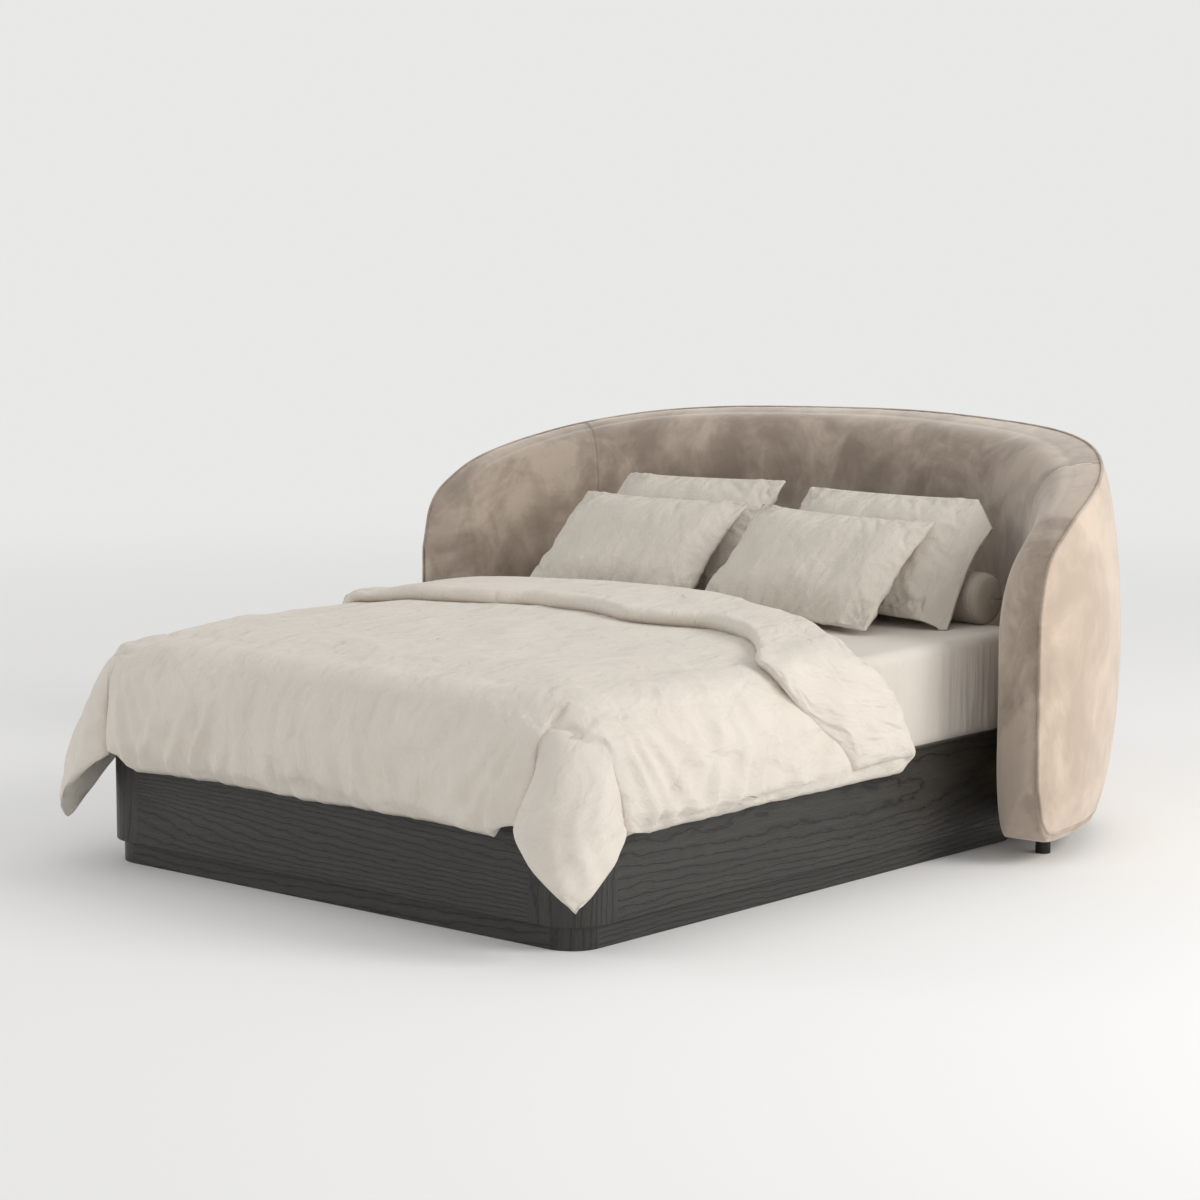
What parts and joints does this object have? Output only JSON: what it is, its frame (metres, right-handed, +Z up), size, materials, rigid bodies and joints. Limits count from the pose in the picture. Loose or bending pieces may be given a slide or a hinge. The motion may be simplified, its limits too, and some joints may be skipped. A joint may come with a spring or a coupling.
{
  "type": "bed",
  "caption": "Double bed: stained-oak plinth base, curved padded headboard that wraps round the head end on its own feet, mattress, duvet, pillows and bolster.",
  "frame": {"origin": "on the floor under the middle of the whole bed", "axes": "+X across the bed to the right seen from the foot, +Y from the foot to the headboard, +Z up"},
  "size_m": [2.4908, 2.7909, 1.178],
  "materials": {
    "stained_oak": "open-grain oak veneer, charcoal stain, matt",
    "frame_softwood": "planed softwood, unfinished",
    "slat_beech": "laminated beech, clear satin",
    "plywood": "birch plywood, unfinished",
    "zinc_steel": "zinc plated",
    "black_foot": "moulded black",
    "headboard_suede": "suede-like velvet, mottled nap",
    "mattress_knit": "knitted cover",
    "sheet_cotton": "washed cotton, matt",
    "duvet_cotton": "washed cotton, matt, soft creases",
    "pillow_linen": "slubby linen, fine wrinkles"
  },
  "bodies": {
    "bed_frame": {"plinth_foot_board": "stained_oak", "plinth_head_board": "stained_oak", "plinth_left_board": "stained_oak", "plinth_right_board": "stained_oak", "plinth_corners": "stained_oak", "foot_panel": "stained_oak", "head_panel": "stained_oak", "left_panel": "stained_oak", "right_panel": "stained_oak", "foot_left_post": "stained_oak", "foot_right_post": "stained_oak", "head_left_post": "stained_oak", "head_right_post": "stained_oak", "foot_frame_board": "frame_softwood", "head_frame_board": "frame_softwood", "left_frame_board": "frame_softwood", "right_frame_board": "frame_softwood", "corner_blocks": "frame_softwood", "middle_beam": "frame_softwood", "foot_blocks": "frame_softwood", "slat_01": "slat_beech", "slat_02": "slat_beech", "slat_03": "slat_beech", "slat_04": "slat_beech", "slat_05": "slat_beech", "slat_06": "slat_beech", "slat_07": "slat_beech", "slat_08": "slat_beech", "slat_09": "slat_beech", "slat_10": "slat_beech", "slat_11": "slat_beech", "slat_12": "slat_beech", "headboard_core_left": "plywood", "headboard_core_centre": "plywood", "headboard_core_right": "plywood", "left_head_arm": "plywood", "right_head_arm": "plywood", "left_wing_spacer": "plywood", "right_wing_spacer": "plywood", "slat_screws": "zinc_steel", "headboard_bolts": "zinc_steel", "beam_hangers": "zinc_steel", "middle_legs": "black_foot", "headboard_feet": "black_foot", "headboard_padding_left": "headboard_suede", "headboard_padding_centre": "headboard_suede", "headboard_padding_right": "headboard_suede", "back_padding_left": "headboard_suede", "back_padding_centre": "headboard_suede", "back_padding_right": "headboard_suede"},
    "mattress": {"mattress_core": "mattress_knit", "mattress_topper": "mattress_knit", "fitted_sheet": "sheet_cotton"},
    "duvet": {"duvet": "duvet_cotton"},
    "bolster": {"bolster": "pillow_linen"},
    "pillow_rear_left": {"pillow_rear_left": "pillow_linen"},
    "pillow_rear_right": {"pillow_rear_right": "pillow_linen"},
    "pillow_front_left": {"pillow_front_left": "pillow_linen"},
    "pillow_front_right": {"pillow_front_right": "pillow_linen"}
  },
  "joints": [
    {"name": "mattress_lift", "type": "slide", "parent": "bed_frame", "child": "mattress", "axis": [0, 0, 1], "range_m": [0, 0.9]},
    {"name": "duvet_lift", "type": "slide", "parent": "mattress", "child": "duvet", "axis": [0, 0, 1], "range_m": [0, 1.1]},
    {"name": "bolster_lift", "type": "slide", "parent": "mattress", "child": "bolster", "axis": [0, 0, 1], "range_m": [0, 0.6]},
    {"name": "pillow_rear_left_lift", "type": "slide", "parent": "bolster", "child": "pillow_rear_left", "axis": [0, 0, 1], "range_m": [0, 0.6]},
    {"name": "pillow_rear_right_lift", "type": "slide", "parent": "bolster", "child": "pillow_rear_right", "axis": [0, 0, 1], "range_m": [0, 0.6]},
    {"name": "pillow_front_left_lift", "type": "slide", "parent": "pillow_rear_left", "child": "pillow_front_left", "axis": [0, 0, 1], "range_m": [0, 0.6]},
    {"name": "pillow_front_right_lift", "type": "slide", "parent": "pillow_rear_right", "child": "pillow_front_right", "axis": [0, 0, 1], "range_m": [0, 0.6]}
  ]
}
